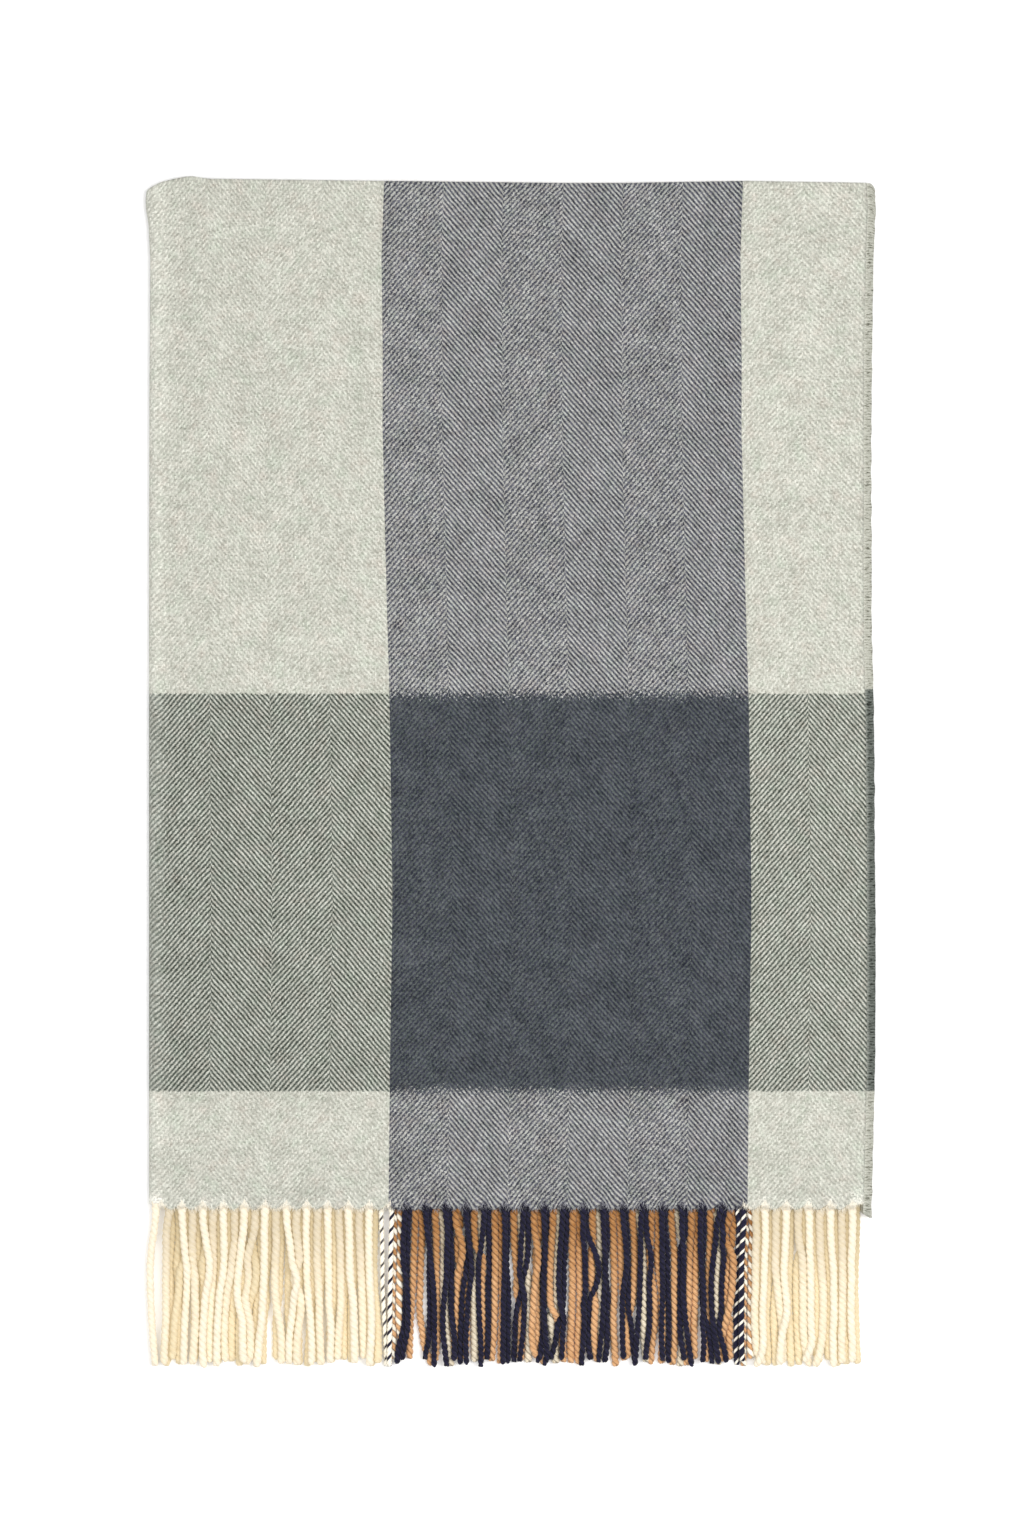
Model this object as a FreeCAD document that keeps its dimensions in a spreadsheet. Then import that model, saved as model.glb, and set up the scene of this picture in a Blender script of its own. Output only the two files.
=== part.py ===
# Woven throw with a twisted fringe on both hems, folded in four.
# The cloth is folded across first, so that its hems meet, and then lengthwise.
# It lies flat with its face up: +Z out of the face, +Y towards the cross fold and
# +X towards the open selvedges. The origin is the middle of the underside.
import FreeCAD
import Part
import Sketcher
import math
import os

doc = FreeCAD.newDocument("folded_throw")

# Driving dimensions in millimetres. Every "first" is a tassel's distance from the left fold.
dimensions = {
    "cloth_thick": 3.2,
    "layer_gap": 0.3,
    "folded_width": 700.4,
    "folded_height": 991.9,
    "selvedge_width": 8.5,
    "selvedge_tail": 8.0,
    "fringe_length": 152.0,
    "tassel_radius": 3.1,
    "left_pitch": 20.13,
    "centre_pitch": 19.02,
    "right_pitch": 21.1,
}

# Tassel groups of each layer: name, first tassel, pitch cell, every nth, count.
fringes = {
    "front": (
        ("cream_tassels_left", 12.1, "left_pitch", 1, 11),
        ("marl_tassel_left", 233.8, None, 1, 1),
        ("navy_tassels", 248.8, "centre_pitch", 1, 17),
        ("marl_tassel_right", 573.5, None, 1, 1),
        ("cream_tassels_right", 594.8, "right_pitch", 1, 5),
    ),
    "second": (
        ("cream_tassels_left", 22.3, "left_pitch", 1, 10),
        ("marl_tassel_left", 227.3, None, 1, 1),
        ("navy_tassels", 255.2, "centre_pitch", 1, 17),
        ("marl_tassel_right", 567.0, None, 1, 1),
        ("cream_tassels_right", 586.1, "right_pitch", 1, 5),
    ),
    "third": (
        ("cream_tassels_left", 16.5, "left_pitch", 1, 11),
        ("marl_tassel_left", 242.5, None, 1, 1),
        ("caramel_tassels", 259.9, "centre_pitch", 1, 17),
        ("marl_tassel_right", 580.3, None, 1, 1),
        ("cream_tassels_right", 590.5, "right_pitch", 1, 5),
    ),
    "back": (
        ("cream_tassels_left", 26.0, "left_pitch", 1, 10),
        ("marl_tassel_left", 236.0, None, 1, 1),
        ("caramel_tassels", 253.0, "centre_pitch", 2, 9),
        ("pale_tassels", 272.0, "centre_pitch", 2, 8),
        ("marl_tassel_right", 572.6, None, 1, 1),
        ("cream_tassels_right", 599.5, "right_pitch", 1, 5),
    ),
}

cells = dict(dimensions)
for layer_name, groups in fringes.items():
    for name, first, pitch, step, count in groups:
        cells[f"{layer_name}_{name}_first"] = first

sheet = doc.addObject("Spreadsheet::Sheet", "dims")
for row, (alias, value) in enumerate(cells.items(), start=1):
    sheet.set(f"A{row}", alias)
    sheet.set(f"B{row}", str(value))
    sheet.setAlias(f"B{row}", alias)
doc.recompute()

# Positions written with the sheet's cells.
layer = "(dims.cloth_thick + dims.layer_gap)"
turn_radius = "(dims.cloth_thick + dims.layer_gap / 2)"
turn_bore = "(dims.layer_gap / 2)"
half_stack = f"(2 * {layer} - dims.layer_gap / 2)"
left_edge = "(-dims.folded_width / 2)"
right_edge = "(dims.folded_width / 2)"
fold_axis = f"({left_edge} + {half_stack})"
top_edge = "((dims.folded_height + dims.fringe_length) / 2)"
hem = f"({top_edge} - dims.folded_height)"
turn_start = f"({top_edge} - {turn_radius})"
cloth_right = f"({right_edge} - dims.selvedge_width)"

# Layers from the underside up, and the left end of the cloth in each half.
levels = {"back": "0", "third": layer, "second": f"2 * {layer}", "front": f"3 * {layer}"}
lower_left = fold_axis
upper_left = f"({fold_axis} + dims.layer_gap)"

bodies = []


def new_body(label):
    body = doc.addObject("PartDesign::Body", label)
    body.Label = label
    bodies.append(body)
    return body


def new_sketch(body, role, offset):
    """A sketch on one of the body's own planes, moved along the sketch's x, y and normal."""
    sketch = body.newObject("Sketcher::SketchObject", f"{body.Label}_sketch")
    plane = next(item for item in body.Origin.OriginFeatures if item.Role == role)
    sketch.AttachmentSupport = [(plane, "")]
    sketch.MapMode = "FlatFace"
    for axis, distance in zip("xyz", offset):
        sketch.setExpression(f".AttachmentOffset.Base.{axis}", distance)
    return sketch


def size(sketch, kind, where, value, expression):
    """Adds a constraint that has a size and ties the size to the sheet."""
    index = sketch.addConstraint(Sketcher.Constraint(kind, *where, value))
    sketch.setExpression(f"Constraints[{index}]", expression)


def fix(sketch, kind, *where):
    sketch.addConstraint(Sketcher.Constraint(kind, *where))


def pad(body, sketch, length):
    feature = body.newObject("PartDesign::Pad", f"{body.Label}_pad")
    feature.Profile = sketch
    feature.setExpression("Length", length)
    return feature


def make_plate(label, corner, width, height):
    """One flat layer of cloth, from its lower left corner."""
    body = new_body(label)
    sketch = new_sketch(body, "XY_Plane", corner)
    corners = [FreeCAD.Vector(x, y, 0) for x, y in ((0, 0), (9, 0), (9, 9), (0, 9))]
    for start, end in zip(corners, corners[1:] + corners[:1]):
        sketch.addGeometry(Part.LineSegment(start, end), False)
    for side in range(4):
        fix(sketch, "Coincident", side, 2, (side + 1) % 4, 1)
        fix(sketch, "Vertical" if side % 2 else "Horizontal", side)
    fix(sketch, "Coincident", 0, 1, -1, 1)
    size(sketch, "DistanceX", (0, 1, 0, 2), 9.0, width)
    size(sketch, "DistanceY", (1, 1, 1, 2), 9.0, height)
    pad(body, sketch, "dims.cloth_thick")


def half_ring(body, role, offset, inner, outer, first_angle, rise=None):
    """A half ring with its flat ends on the sketch's own vertical axis."""
    sketch = new_sketch(body, role, offset)
    centre = FreeCAD.Vector(0, 4 if rise else 0, 0)
    for radius in (1, 3):
        circle = Part.Circle(centre, FreeCAD.Vector(0, 0, 1), radius)
        arc = Part.ArcOfCircle(circle, first_angle, first_angle + math.pi)
        sketch.addGeometry(arc, False)
    for first, last in ((1, 3), (-3, -1)):
        start = centre + FreeCAD.Vector(0, first, 0)
        end = centre + FreeCAD.Vector(0, last, 0)
        sketch.addGeometry(Part.LineSegment(start, end), False)
    upper, lower = (2, 1) if first_angle < 0 else (1, 2)
    for line, end, (inner_end, outer_end) in ((2, upper, (1, 2)), (3, lower, (2, 1))):
        fix(sketch, "Coincident", line, inner_end, 0, end)
        fix(sketch, "Coincident", line, outer_end, 1, end)
        fix(sketch, "PointOnObject", line, 1, -2)
        fix(sketch, "PointOnObject", line, 2, -2)
    fix(sketch, "Coincident", 0, 3, 1, 3)
    if rise:
        fix(sketch, "PointOnObject", 0, 3, -2)
        size(sketch, "DistanceY", (-1, 1, 0, 3), 4.0, rise)
    else:
        fix(sketch, "Coincident", 0, 3, -1, 1)
    size(sketch, "Radius", (0,), 1.0, inner)
    size(sketch, "Radius", (1,), 3.0, outer)
    return sketch


def make_top_turn(label, left, level):
    """The cross fold of one half: two layers joined by a half turn along the top edge."""
    body = new_body(label)
    middle = f"({levels[level]} + {turn_radius})"
    offset = (turn_start, middle, left)
    sketch = half_ring(body, "YZ_Plane", offset, turn_bore, turn_radius, -math.pi / 2)
    pad(body, sketch, f"{right_edge} - {left}")


def make_left_turn(label, inner, outer):
    """The lengthwise fold: one layer of each half joined by a half turn along the left edge."""
    body = new_body(label)
    offset = (fold_axis, half_stack, f"-{turn_start}")
    sketch = half_ring(body, "XZ_Plane", offset, inner, outer, math.pi / 2)
    pad(body, sketch, f"{turn_start} - {hem}")


def make_corner_turn(label):
    """The cross fold carried round the lengthwise fold at the top left corner."""
    body = new_body(label)
    offset = (turn_start, half_stack, fold_axis)
    down = -math.pi / 2
    sketch = half_ring(body, "YZ_Plane", offset, turn_bore, turn_radius, down, rise=layer)
    turn = body.newObject("PartDesign::Revolution", f"{label}_turn")
    turn.Profile = sketch
    turn.ReferenceAxis = (sketch, ["H_Axis"])
    turn.Angle = 180
    turn.Reversed = True


def make_tassels(label, first, level, pitch, step, count):
    """A row of twisted tassels in one colour, each a round cord hanging from the hem."""
    body = new_body(label)
    offset = (f"{left_edge} + {first}", level, f"-{hem}")
    sketch = new_sketch(body, "XZ_Plane", offset)
    circle = Part.Circle(FreeCAD.Vector(0, 0, 0), FreeCAD.Vector(0, 0, 1), 3)
    sketch.addGeometry(circle, False)
    fix(sketch, "Coincident", 0, 3, -1, 1)
    size(sketch, "Radius", (0,), 3.0, "dims.tassel_radius")
    cord = pad(body, sketch, "dims.fringe_length")
    if count == 1:
        return
    row = body.newObject("PartDesign::LinearPattern", f"{label}_row")
    row.Originals = [cord]
    row.Direction = (sketch, ["H_Axis"])
    row.Occurrences = count
    row.setExpression("Length", f"dims.{pitch} * {step * (count - 1)}")
    body.Tip = row


for name, level in levels.items():
    left = upper_left if name in ("front", "second") else lower_left
    height = f"{turn_start} - {hem}"
    make_plate(f"{name}_leaf", (left, hem, level), f"{cloth_right} - {left}", height)
    tail_start = f"({hem} - dims.selvedge_tail)"
    tail_height = f"{turn_start} - {tail_start}"
    corner = (cloth_right, tail_start, level)
    make_plate(f"{name}_selvedge", corner, "dims.selvedge_width", tail_height)

make_top_turn("upper_top_fold", upper_left, "second")
make_top_turn("lower_top_fold", lower_left, "back")
make_left_turn("outer_left_fold", f"{half_stack} - dims.cloth_thick", half_stack)
make_left_turn("inner_left_fold", turn_bore, turn_radius)
make_corner_turn("corner_fold")

# Tassels of the two upper layers lie side by side above those of the two lower layers.
cord_levels = {
    "back": "(dims.tassel_radius + dims.layer_gap)",
    "front": f"({half_stack} + dims.layer_gap / 2 + dims.tassel_radius)",
}
cord_levels["third"] = cord_levels["back"]
cord_levels["second"] = cord_levels["front"]
for layer_name, groups in fringes.items():
    for name, first, pitch, step, count in groups:
        label = f"{layer_name}_{name}"
        cell = f"dims.{label}_first"
        make_tassels(label, cell, cord_levels[layer_name], pitch, step, count)

doc.recompute()

for item in doc.Objects:
    if "Invalid" in item.State or "Error" in item.State:
        raise RuntimeError(f"{item.Label} did not compute: {item.State}")
for body in bodies:
    if body.Shape.isNull() or not body.Shape.isValid():
        raise RuntimeError(f"{body.Label} has no valid shape")

os.makedirs("parts", exist_ok=True)
for body in bodies:
    body.Shape.exportStep(f"parts/{body.Label}.step")
    box = body.Shape.BoundBox
    spans = " ".join(
        f"{low:.1f}..{high:.1f}"
        for low, high in ((box.XMin, box.XMax), (box.YMin, box.YMax), (box.ZMin, box.ZMax))
    )
    print(f"{body.Label}: {len(body.Shape.Solids)} solids, {spans}, {body.Shape.Volume:.0f} mm3")
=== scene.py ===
import bpy
import math
import numpy as np
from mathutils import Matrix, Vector


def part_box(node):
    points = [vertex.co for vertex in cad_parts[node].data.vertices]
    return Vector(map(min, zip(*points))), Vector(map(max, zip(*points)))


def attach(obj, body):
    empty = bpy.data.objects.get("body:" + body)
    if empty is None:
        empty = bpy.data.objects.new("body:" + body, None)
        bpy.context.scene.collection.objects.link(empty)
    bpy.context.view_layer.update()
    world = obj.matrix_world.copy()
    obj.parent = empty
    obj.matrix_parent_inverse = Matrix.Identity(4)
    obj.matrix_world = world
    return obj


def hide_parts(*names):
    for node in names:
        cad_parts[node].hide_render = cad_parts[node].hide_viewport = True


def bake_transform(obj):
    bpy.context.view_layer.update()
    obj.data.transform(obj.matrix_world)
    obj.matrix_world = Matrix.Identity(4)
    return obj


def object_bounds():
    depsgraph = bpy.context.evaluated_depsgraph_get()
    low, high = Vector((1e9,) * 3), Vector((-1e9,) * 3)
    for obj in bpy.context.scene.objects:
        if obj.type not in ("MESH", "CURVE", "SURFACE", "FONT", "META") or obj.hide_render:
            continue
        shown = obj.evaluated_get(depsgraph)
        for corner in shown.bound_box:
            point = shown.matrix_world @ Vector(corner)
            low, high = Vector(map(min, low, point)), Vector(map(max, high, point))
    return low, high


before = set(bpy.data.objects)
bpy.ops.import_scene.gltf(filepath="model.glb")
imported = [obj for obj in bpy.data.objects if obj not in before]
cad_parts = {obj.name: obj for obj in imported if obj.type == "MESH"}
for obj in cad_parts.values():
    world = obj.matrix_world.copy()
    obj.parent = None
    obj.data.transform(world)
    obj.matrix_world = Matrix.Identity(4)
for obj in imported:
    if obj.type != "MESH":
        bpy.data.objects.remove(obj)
cadLow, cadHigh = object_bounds()
print("frame loaded:", len(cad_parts), "nodes")


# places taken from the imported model, in metres
leafLow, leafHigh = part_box("front_leaf")
tapeLow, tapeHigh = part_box("front_selvedge")
roundLow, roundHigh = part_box("outer_left_fold")
hemY = leafLow.y                    # lower edge of the cloth, where the fringe starts
foldY = leafHigh.y                  # where the cross fold starts to turn
tapeX = tapeLow.x                   # cloth ends, selvedge begins
sideX = tapeHigh.x                  # open side edge
leftX = roundLow.x                  # outside of the lengthwise fold
middleZ = (roundLow.z + roundHigh.z) / 2


# the cloth as it was woven: u runs across and v along, both from the middle of the cloth, in metres
cloth = {
    "thickness": 0.0030,
    "layerPitch": 0.0035,           # one layer to the next at the cross fold
    "foldDepth": 0.0119,            # how far in the soft lengthwise fold starts to curve
    "foldTop": 0.0016,              # top of that fold to the middle of its outer layer
    "columnStep": 0.0032,           # one mesh place to the next across the cloth
    "rowStep": 0.0340,              # the same along it, away from the folds and the hem
    "hemRound": 0.0016,             # how far in the hem starts to thin out
    "lobe": 0.0028,                 # how far the hem hangs lower between two tassels
    "lobeReach": 0.0075,
    "hemWander": 0.0007,            # size of its small uneven waves
    "tuftTaper": 0.004,             # how soon a tuft of drawn-together warp narrows above the hem
    "tuftReach": 0.014,             # and fades
}
puff = {
    "height": 0.0012,               # gentle rise and fall of the upper layers
    "span": 0.21,                   # about one rise to the next
    "fineSpan": 0.14,
    "fineShare": 0.4,
    "seed": 11,
}
corner = {
    "bulgeReach": 0.025,            # how far in from the lengthwise fold its bulge fades
    "lineReach": 0.045,             # how far down from the cross fold its uneven line fades
    "rise": 0.0006,                 # the upper layers stand higher beside the cross fold
    "riseReach": 0.030,
}

halfThick = cloth["thickness"] / 2
outerZ = middleZ - cloth["foldTop"]     # half height of the fold at the middle of the outer layer
outerX = cloth["foldDepth"] - halfThick
foldX = leftX + cloth["foldDepth"]
turnU = math.pi / 2 * math.sqrt((outerX ** 2 + outerZ ** 2) / 2)
turnV = math.pi / 2 * cloth["layerPitch"] / 2
clothU = turnU + tapeX - foldX      # half width without the selvedge
sideU = turnU + sideX - foldX
clothV = turnV + foldY - hemY       # half length without the fringe


def smooth(low, high, x):
    t = np.clip((x - low) / (high - low), 0, 1)
    return t * t * (3 - 2 * t)


def wave(points, seed, scale, count=7):
    # a sum of slow sine waves in seeded directions, from about -1 to 1
    rng = np.random.default_rng(seed)
    total = np.zeros(len(points))
    for i in range(count):
        angle = rng.uniform(0, 2 * math.pi)
        size = scale * rng.uniform(0.6, 1.6)
        along = points[:, 0] * math.cos(angle) + points[:, 1] * math.sin(angle)
        total += np.sin(2 * math.pi * along / size + rng.uniform(0, 6.3))
    return total / math.sqrt(count) / 1.4


# how far the lengthwise stripes and the open side wander, from the hem up to the cross fold
driftHeights = [0.0, 0.14, 0.30, 0.50, 0.57, 0.76, 0.83, 0.93, 1.0]
driftAcross = [-0.0010, 0.0004, 0.0029, 0.0, -0.0022, -0.0068, -0.0066, -0.0078, -0.0054]
sideHeights = [0.0, 0.074, 0.142, 0.30, 0.396, 0.503, 0.572, 0.835, 0.933, 0.977, 1.0]
sideAcross = [-0.0020, -0.0004, 0.0014, 0.0014, 0.0008, -0.0005, -0.0022, -0.0018, 0.0002, 0.0018, 0.0008]
# the line of the cross fold, from the lengthwise fold to the open side
liftPlaces = [0.0, 0.0033, 0.0136, 0.0275, 0.0372, 0.044, 0.0508, 0.0605, 0.0828, 0.228, 0.40, 0.455, 0.576,
              0.690, 0.6965, 0.6985, 0.7000, 0.7020]
liftUp = [-0.0088, -0.0072, -0.0018, 0.0016, 0.0034, 0.0037, 0.0022, 0.0012, 0.0010, -0.0008, -0.0028,
          -0.0028, -0.0008, -0.0026, -0.0030, -0.0042, -0.0064, -0.0095]
# the line of the lengthwise fold, down from the top
bulgePlaces = [0.0, 0.012, 0.020, 0.029, 0.040, 0.060, 0.085, 0.20, 0.40]
bulgeLeft = [0.0022, 0.0032, 0.0032, 0.0018, 0.0004, -0.0010, -0.0012, -0.0004, 0.0]


def drift(x, y):
    # how far a place is moved sideways: by the stripes' wander inside, by the open side's near the edge
    share = np.clip((y - hemY) / (foldY - hemY), 0, 1)
    edge = smooth(sideX - 0.10, sideX - 0.01, x)
    inside = smooth(leftX, leftX + 0.16, x) * (1 - edge)
    stripes = np.interp(share, driftHeights, driftAcross)
    openSide = np.interp(share, sideHeights, sideAcross)
    return stripes * inside + openSide * edge


def cornerShape(x, y, z):
    # the soft lines of the two folds and the rounded corner where they meet
    fromLeft, fromTop = x - leftX, cadHigh.y - y
    lift = np.interp(fromLeft, liftPlaces, liftUp) * np.exp(-np.maximum(fromTop, 0) / corner["lineReach"])
    bulge = np.interp(fromTop, bulgePlaces, bulgeLeft) * np.exp(-fromLeft / corner["bulgeReach"])
    near = np.exp(-(fromTop / corner["riseReach"]) ** 2)
    return x - bulge, y + lift, z + corner["rise"] * near * (z > middleZ)


def puffed(x, y, z):
    # the upper layers rise and fall a little
    flat = np.stack([x, y], 1)
    rise = wave(flat, puff["seed"], puff["span"])
    rise = rise + puff["fineShare"] * wave(flat, puff["seed"] + 1, puff["fineSpan"])
    inside = smooth(leftX, leftX + 0.07, x) * smooth(0, 0.05, cadHigh.y - y)
    return z + smooth(middleZ + 0.0008, middleZ + 0.0060, z) * inside * puff["height"] * (0.6 + rise)


def roundRim(share, least):
    # half thickness close to an edge, as a share of the full one
    return np.sqrt(np.clip(1 - (1 - np.clip(share, 0, 1)) ** 2, least, 1))


def foldPoints(u, v, face):
    # u and v are places on the flat cloth
    # face is +1 on the side that shows, -1 on the other, and in between at the rims
    offset = face * halfThick
    side, bend = np.sign(u), np.abs(u)
    # the fold across, about v = 0
    turn = np.clip(v / turnV, -1, 1) * math.pi / 2
    radius = cloth["layerPitch"] / 2 + offset
    y = foldY + radius * np.cos(turn) - np.maximum(np.abs(v) - turnV, 0)
    depth = cloth["layerPitch"] / 2 + radius * np.sin(turn)
    # the fold lengthwise, about u = 0
    angle = np.clip(bend / turnU, 0, 1) * math.pi / 2
    x = foldX - (outerX - depth) * np.cos(angle)
    x += np.maximum(bend - turnU, 0) * (1 - 0.45 * depth)       # inner layers lie a little further in
    z = middleZ + side * (outerZ - depth) * np.sin(angle)
    return x, y, z


rowCentres = {}
for layerName, parts in {
    "front": (("cream_tassels_left", 11), ("marl_tassel_left", 1), ("navy_tassels", 17),
              ("marl_tassel_right", 1), ("cream_tassels_right", 5)),
    "second": (("cream_tassels_left", 10), ("marl_tassel_left", 1), ("navy_tassels", 17),
               ("marl_tassel_right", 1), ("cream_tassels_right", 5)),
    "third": (("cream_tassels_left", 11), ("marl_tassel_left", 1), ("caramel_tassels", 17),
              ("marl_tassel_right", 1), ("cream_tassels_right", 5)),
    "back": (("cream_tassels_left", 10), ("marl_tassel_left", 1), ("caramel_tassels", 9),
             ("pale_tassels", 8), ("marl_tassel_right", 1), ("cream_tassels_right", 5)),
}.items():
    for name, count in parts:
        low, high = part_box(f"{layerName}_{name}")
        radius = (high.z - low.z) / 2
        rowCentres[f"{layerName}_{name}"] = np.linspace(low.x + radius, high.x - radius, count)


def centresOf(layerName):
    return np.sort(np.concatenate([x for name, x in rowCentres.items() if name.startswith(layerName + "_")]))


def layerOf(u, v):
    # which leaf a place on the flat cloth belongs to
    return np.where(u > 0, np.where(v < 0, 0, 1), np.where(v < 0, 3, 2))


layerNames = ["front", "second", "third", "back"]


def shapeCloth(u, v, face):
    # thinner and rounded at the hem, then folded, then given its lobes and soft lines
    fromHem = clothV - np.abs(v)
    x, y, z = foldPoints(u, v, face * roundRim(fromHem / cloth["hemRound"], 0.02))
    layer = layerOf(u, v)
    reach = np.exp(-fromHem / cloth["lobeReach"])
    for i, name in enumerate(layerNames):
        centres = centresOf(name)
        here = layer == i
        phase = np.interp(x[here], centres, np.arange(len(centres)))
        y[here] += cloth["lobe"] * np.cos(2 * math.pi * phase) * reach[here]
        ripple = wave(np.stack([x[here], x[here] * 0], 1), 5 + i, 0.013)
        y[here] += cloth["hemWander"] * ripple * reach[here]
    x = x + drift(x, y)
    x, y, z = cornerShape(x, y, z)
    return np.stack([x, y, puffed(x, y, z)], 1)


def steps(stops):
    # places between stops, given as (end, step) pairs from 0 on
    places = [0.0]
    for end, step in stops:
        count = max(1, round((end - places[-1]) / step))
        places += list(np.linspace(places[-1], end, count + 1)[1:])
    return np.array(places)


def clothGrid(us, vs, shape):
    # a closed sheet: the showing side, the other side, and a rim
    nu, nv = len(us), len(vs)
    gridU, gridV = (g.ravel() for g in np.meshgrid(us, vs))
    top = shape(gridU, gridV, np.ones(nu * nv))
    bottom = shape(gridU, gridV, -np.ones(nu * nv))
    index = np.arange(nu * nv).reshape(nv, nu)
    a, b, c, d = index[:-1, :-1], index[:-1, 1:], index[1:, 1:], index[1:, :-1]
    upper = np.stack([a, b, c, d], -1).reshape(-1, 4)
    lower = np.stack([a, d, c, b], -1).reshape(-1, 4) + nu * nv
    ring = np.concatenate([index[0, :-1], index[:-1, -1], index[-1, :0:-1], index[:0:-1, 0]])
    after = np.roll(ring, -1)
    rim = np.stack([ring, ring + nu * nv, after + nu * nv, after], -1)
    faces = np.concatenate([upper, lower, rim])
    places = np.stack([np.tile(gridU, 2), np.tile(gridV, 2)], 1)
    return np.concatenate([top, bottom]), faces, places


def newMesh(name, points, faces, places, slots=None, tuft=None):
    # faces are quads, and a triangle is given as a quad with its last corner doubled
    square = faces[:, 2] != faces[:, 3]
    quads, triangles = faces[square], faces[~square][:, :3]
    loops = np.concatenate([quads.ravel(), triangles.ravel()])
    starts = np.concatenate([np.arange(len(quads)) * 4, len(quads) * 4 + np.arange(len(triangles)) * 3])
    mesh = bpy.data.meshes.new(name)
    mesh.vertices.add(len(points))
    mesh.vertices.foreach_set("co", points.astype(np.float32).ravel())
    mesh.loops.add(len(loops))
    mesh.loops.foreach_set("vertex_index", loops.astype(np.int32))
    mesh.polygons.add(len(starts))
    mesh.polygons.foreach_set("loop_start", starts.astype(np.int32))
    mesh.polygons.foreach_set("use_smooth", np.ones(len(starts), bool))
    if slots is not None:
        slots = np.concatenate([slots[square], slots[~square]])
        mesh.polygons.foreach_set("material_index", slots.astype(np.int32))
    mesh.update(calc_edges=True)
    layer = mesh.uv_layers.new(name="weave")
    layer.data.foreach_set("uv", places[loops].astype(np.float32).ravel())
    if tuft is not None:
        mesh.attributes.new("tuft", "FLOAT", "POINT").data.foreach_set("value", tuft.astype(np.float32))
    mesh.validate()
    return mesh


def putInScene(name, data, materials=()):
    made = bpy.data.objects.new(name, data)
    for material in materials:
        data.materials.append(material)
    bpy.context.scene.collection.objects.link(made)
    return made


# helpers for the node materials
def newMaterial(name, **settings):
    material = bpy.data.materials.new(name)
    material.use_nodes = True
    tree = material.node_tree
    shader = tree.nodes["Principled BSDF"]
    for socket, value in settings.items():
        shader.inputs[socket.replace("_", " ")].default_value = value
    return material, tree, shader


def node(tree, kind, inputs=(), **settings):
    made = tree.nodes.new("ShaderNode" + kind)
    for key, value in settings.items():
        setattr(made, key, value)
    for key, value in dict(inputs).items():
        if isinstance(value, bpy.types.NodeSocket):
            tree.links.new(value, made.inputs[key])
        else:
            made.inputs[key].default_value = value
    return made


def calc(tree, operation, *values):
    made = node(tree, "Math", {i: value for i, value in enumerate(values)}, operation=operation)
    return made.outputs[0]


def addUp(tree, total, *others):
    for value in others:
        total = calc(tree, "ADD", total, value)
    return total


def mixValue(tree, share, first, second):
    return node(tree, "Mix", {0: share, 2: first, 3: second}).outputs[0]


def fit(tree, value, low, high, toLow=0.0, toHigh=1.0):
    made = node(tree, "MapRange", {"Value": value, "From Min": low, "From Max": high,
                                   "To Min": toLow, "To Max": toHigh}, interpolation_type="SMOOTHSTEP")
    return made.outputs["Result"]


def mixColour(tree, share, first, second, blend="MIX"):
    made = node(tree, "Mix", {0: share, 6: first, 7: second}, data_type="RGBA", blend_type=blend)
    return made.outputs[2]


def noise(tree, x, y, scaleX, scaleY, detail=2.0, rough=0.5, shift=0.0):
    place = node(tree, "CombineXYZ", {0: calc(tree, "MULTIPLY", x, scaleX),
                                      1: calc(tree, "MULTIPLY", y, scaleY), 2: shift})
    made = node(tree, "TexNoise", {"Vector": place.outputs[0], "Scale": 1.0, "Detail": detail,
                                   "Roughness": rough})
    return made.outputs["Fac"]


def linear(red, green, blue):
    # screen colour from 0 to 255 as the shader wants it
    values = [c / 255 for c in (red, green, blue)]
    return tuple(c / 12.92 if c <= 0.04045 else ((c + 0.055) / 1.055) ** 2.4 for c in values) + (1.0,)


def tone(red, green, blue):
    # screen colour kept as seen; a material mixes these and ends with the Gamma node
    return (red / 255, green / 255, blue / 255, 1.0)


def spread(tree, value, amount, middle=0.5):
    # a noise value made to vary by amount to both sides of zero
    return calc(tree, "MULTIPLY_ADD", value, amount, -amount * middle)


def shaded(tree, colour, light, level):
    # colour with light added to it and the whole scaled, from seen tones to the shader's own
    added = node(tree, "CombineColor", {0: light, 1: light, 2: light}).outputs[0]
    total = mixColour(tree, 1.0, colour, added, "ADD")
    total = node(tree, "Mix", {0: 1.0, 6: total, 7: (level, level, level, 1)}, data_type="RGBA",
                 blend_type="MULTIPLY", clamp_result=True).outputs[2]
    return node(tree, "Gamma", {"Color": total, "Gamma": 2.2}).outputs[0]


def finishWool(tree, shader, colour, height, strength, depth):
    # colour and relief go into the shader
    tree.links.new(colour, shader.inputs["Base Color"])
    bump = node(tree, "Bump", {"Height": height, "Strength": strength, "Distance": depth})
    tree.links.new(bump.outputs[0], shader.inputs["Normal"])


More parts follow.
